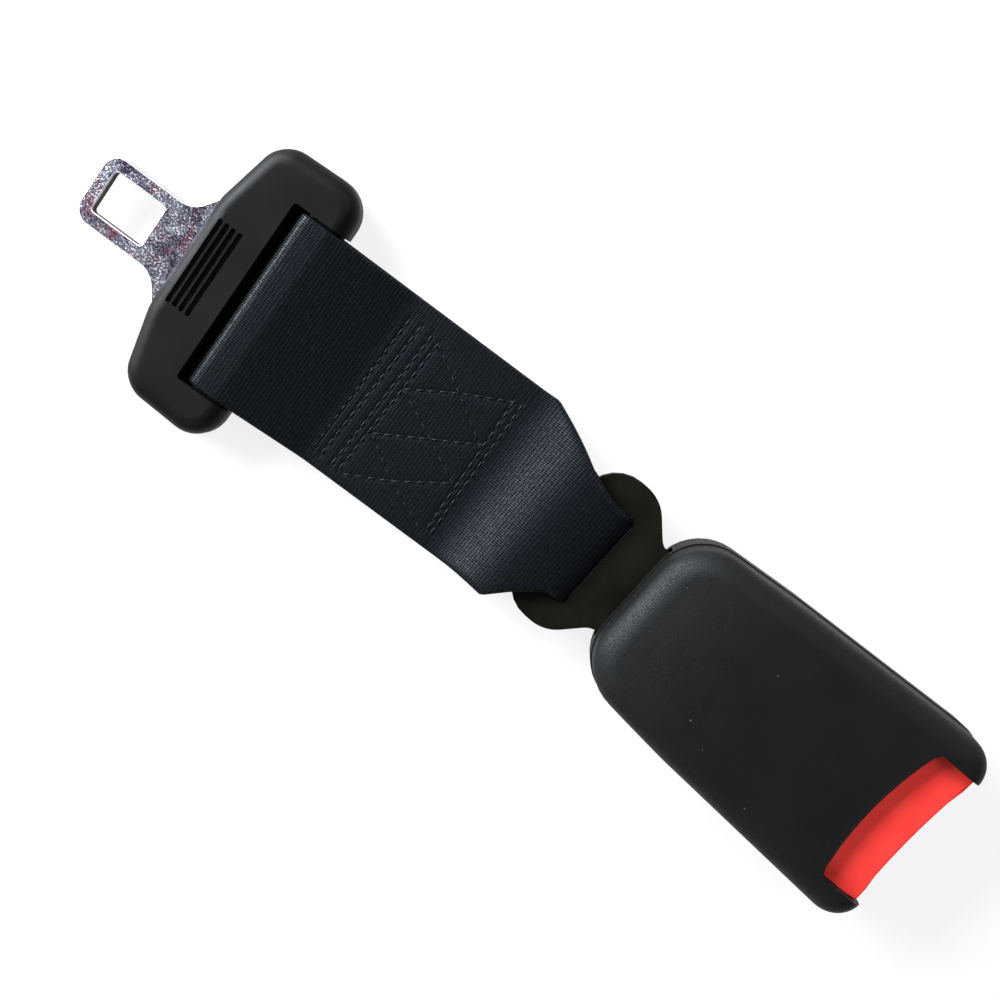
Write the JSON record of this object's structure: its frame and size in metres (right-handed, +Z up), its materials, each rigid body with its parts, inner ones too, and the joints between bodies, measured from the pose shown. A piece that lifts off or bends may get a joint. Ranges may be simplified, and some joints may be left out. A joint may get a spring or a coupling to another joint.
{
  "type": "seat belt extender",
  "caption": "Car seat belt extender: a flat steel tongue in a plastic grip, a short sewn loop of webbing and a push-button buckle.",
  "frame": {"origin": "middle of the bounding box on the table it lies on", "axes": "+X from the tongue to the buckle along the webbing, +Z up from the table, through the button side of the buckle"},
  "size_m": [0.2475, 0.0712, 0.023],
  "materials": {
    "tongue_steel": "bright plated steel with a fine mottled grain",
    "grip_plastic": "smooth satin black moulding",
    "polyester": "black woven polyester webbing",
    "black_steel": "matte black coated steel",
    "rivet_steel": "zinc plated",
    "channel_steel": "zinc plated",
    "latch_steel": "zinc plated",
    "pin_steel": "ground steel",
    "spring_steel": "drawn wire",
    "grey_plastic": "plain dark grey moulding",
    "red_plastic": "satin red moulding",
    "cover_plastic": "finely textured black moulding"
  },
  "bodies": {
    "strap": {"webbing": "polyester"},
    "tongue": {"tongue_plate": "tongue_steel", "tongue_cover": "grip_plastic"},
    "buckle": {"anchor_plate": "black_steel", "anchor_rivet_left": "rivet_steel", "anchor_rivet_right": "rivet_steel", "buckle_frame": "channel_steel", "latch_pin": "pin_steel", "latch_spring": "spring_steel", "ejector_spring": "spring_steel", "button_spring_left": "spring_steel", "button_spring_right": "spring_steel", "tongue_guide": "cover_plastic", "lower_cover": "cover_plastic", "upper_cover": "cover_plastic"},
    "button": {"release_button": "red_plastic", "lock_bar": "pin_steel"},
    "ejector": {"ejector": "grey_plastic"},
    "latch": {"latch": "latch_steel"}
  },
  "joints": [
    {"name": "tongue_swing", "type": "hinge", "parent": "strap", "child": "tongue", "pos_m": [-0.07517, 0, 0.0054], "axis": [0, 1, 0], "range_deg": [-60, 60], "deforming": ["webbing"]},
    {"name": "buckle_swing", "type": "hinge", "parent": "strap", "child": "buckle", "pos_m": [0.01413, 0, 0.0072], "axis": [0.0698, 0.9976, 0], "range_deg": [-60, 60], "deforming": ["webbing"]},
    {"name": "button_slide", "type": "slide", "parent": "buckle", "child": "button", "axis": [0.9976, -0.0698, 0], "range_m": [-0.005, 0], "stiffness_N_per_m": 1200, "springref_m": 0.004, "deforming": ["button_spring_left", "button_spring_right"]},
    {"name": "ejector_slide", "type": "slide", "parent": "buckle", "child": "ejector", "axis": [0.9976, -0.0698, 0], "range_m": [-0.011, 0], "stiffness_N_per_m": 400, "springref_m": 0.006, "deforming": ["ejector_spring"]},
    {"name": "latch_hinge", "type": "hinge", "parent": "buckle", "child": "latch", "pos_m": [0.0705, -0.00394, 0.0146], "axis": [0.0698, 0.9976, 0], "range_deg": [0, 10.72], "deforming": ["latch_spring"]}
  ],
  "couplings": [
    {"joint": "latch_hinge", "follows": "ejector_slide", "rad_per_m": -17}
  ]
}
